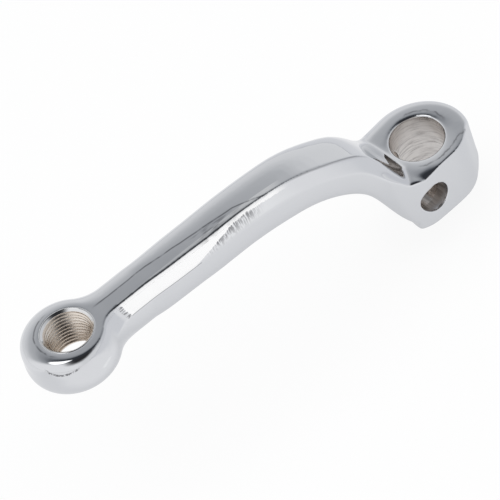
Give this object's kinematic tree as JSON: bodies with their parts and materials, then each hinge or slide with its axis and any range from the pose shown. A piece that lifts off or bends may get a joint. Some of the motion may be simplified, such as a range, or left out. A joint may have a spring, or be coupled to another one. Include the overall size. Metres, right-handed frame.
{
  "type": "pedal crank arm",
  "caption": "Chromed forged pedal crank arm with an S-bend, a cottered axle boss at one end and a threaded pedal eye at the other.",
  "frame": {"origin": "on the axle axis, midway through the boss", "axes": "+X from the axle axis to the pedal axis, +Y to the side of the cotter flat, +Z along the axle to the outer side of the machine"},
  "size_m": [0.1501, 0.0294, 0.0486],
  "materials": {
    "chrome": "bright polished chrome plate on forged steel"
  },
  "bodies": {
    "root": {"crank_arm": "chrome"}
  },
  "joints": []
}
